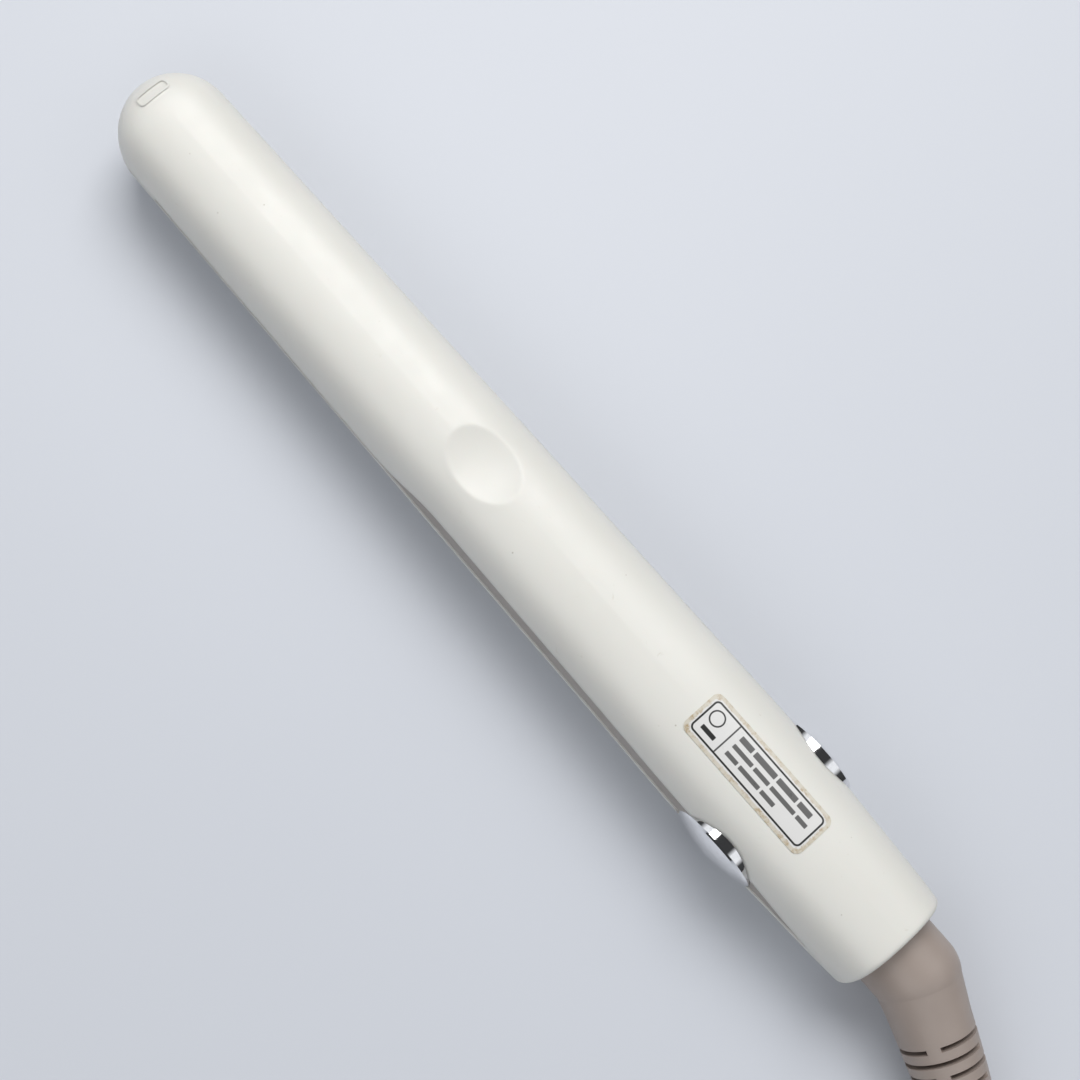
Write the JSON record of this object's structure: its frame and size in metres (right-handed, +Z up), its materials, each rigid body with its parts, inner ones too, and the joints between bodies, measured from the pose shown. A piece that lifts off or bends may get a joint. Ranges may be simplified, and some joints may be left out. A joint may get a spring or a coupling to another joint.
{
  "type": "flat iron",
  "caption": "Hair straightener with two hinged arms, heated plates, chromed hinge caps, press buttons, a slide lock and a swivelling mains cord tied in a hank.",
  "frame": {"origin": "middle of the body's length and width, on the surface that the closed iron lies on", "axes": "+X towards the cord, +Y to the right-hand side seen from the tip, +Z up through both arms"},
  "size_m": [0.493, 0.0604, 0.0371],
  "materials": {
    "cream_shell": "fine matt moulded, slightly pearly off-white",
    "taupe_cover": "satin greige moulding",
    "taupe_rubber": "satin soft moulding",
    "frame_plastic": "heat-resistant black, matt",
    "plate_coating": "smooth ceramic coating, dark brown",
    "chrome": "mirror polished",
    "heater_ceramic": "white ceramic",
    "aluminium": "extruded",
    "mica": "flaky translucent sheet",
    "steel": "bright",
    "silicone": "matt silicone",
    "board_green": "coated fibreglass",
    "component_black": "moulded",
    "lens": "clear moulding",
    "lamp": "amber",
    "button_cream": "satin",
    "lead_insulation": "silicone sleeve",
    "cord_rubber": "satin",
    "label_stock": "printed sticker",
    "brass": "plated",
    "tie": "ribbed strap"
  },
  "bodies": {
    "lower_arm": {"lower_shell": "cream_shell", "lower_inner_cover": "taupe_cover", "lower_plate_frame": "frame_plastic", "lower_screws": "steel", "lower_heater_leads": "lead_insulation", "power_cord": "cord_rubber", "cord_hank": "cord_rubber", "cord_tie": "tie", "mains_plug": "cord_rubber", "plug_blades": "brass"},
    "upper_arm": {"upper_shell": "cream_shell", "tail_cover": "cream_shell", "upper_inner_cover": "taupe_cover", "upper_plate_frame": "frame_plastic", "upper_plate": "plate_coating", "upper_heater": "heater_ceramic", "upper_heater_clamp": "aluminium", "upper_mica_sheet": "mica", "temperature_sensor": "lamp", "thermal_fuse": "aluminium", "hinge_pin": "steel", "hinge_cap_left": "chrome", "hinge_cap_right": "chrome", "hinge_spring": "steel", "circuit_board": "board_green", "push_switches": "component_black", "board_components": "component_black", "indicator_window": "lens", "indicator_lamps": "lamp", "upper_screws": "steel", "tail_screw": "steel", "swivel_retainer": "frame_plastic", "upper_heater_leads": "lead_insulation", "hinge_leads": "lead_insulation", "mains_leads": "lead_insulation", "rating_label": "label_stock"},
    "floating_plate": {"lower_plate": "plate_coating", "lower_heater": "heater_ceramic", "lower_heater_clamp": "aluminium", "lower_mica_sheet": "mica", "plate_cushions": "silicone"},
    "power_button": {"power_button": "button_cream"},
    "temp_up_button": {"temp_up_button": "button_cream"},
    "temp_down_button": {"temp_down_button": "button_cream"},
    "lock": {"lock_slider": "taupe_cover"},
    "cord_swivel": {"cord_guard": "taupe_rubber", "swivel_clip": "steel"}
  },
  "joints": [
    {"name": "arm_hinge", "type": "hinge", "parent": "lower_arm", "child": "upper_arm", "pos_m": [0.095, 0, 0.018], "axis": [0, 1, 0], "range_deg": [0, 22], "deforming": ["power_cord"]},
    {"name": "plate_float", "type": "slide", "parent": "lower_arm", "child": "floating_plate", "axis": [0, 0, -1], "range_m": [0, 0.0008], "stiffness_N_per_m": 6000, "springref_m": -0.0005, "deforming": ["plate_cushions"]},
    {"name": "power_button_press", "type": "slide", "parent": "upper_arm", "child": "power_button", "axis": [0, 0, 1], "range_m": [0, 0.0006], "stiffness_N_per_m": 800, "springref_m": -0.0005},
    {"name": "temp_up_button_press", "type": "slide", "parent": "upper_arm", "child": "temp_up_button", "axis": [0, 0, 1], "range_m": [0, 0.0006], "stiffness_N_per_m": 800, "springref_m": -0.0005},
    {"name": "temp_down_button_press", "type": "slide", "parent": "upper_arm", "child": "temp_down_button", "axis": [0, 0, 1], "range_m": [0, 0.0006], "stiffness_N_per_m": 800, "springref_m": -0.0005},
    {"name": "lock_slide", "type": "slide", "parent": "upper_arm", "child": "lock", "axis": [-1, 0, 0], "range_m": [0, 0.0055]},
    {"name": "cord_swivel", "type": "hinge", "parent": "upper_arm", "child": "cord_swivel", "pos_m": [0.14, 0, 0.018], "axis": [1, 0, 0], "range_deg": [-90, 90], "deforming": ["power_cord"]}
  ]
}
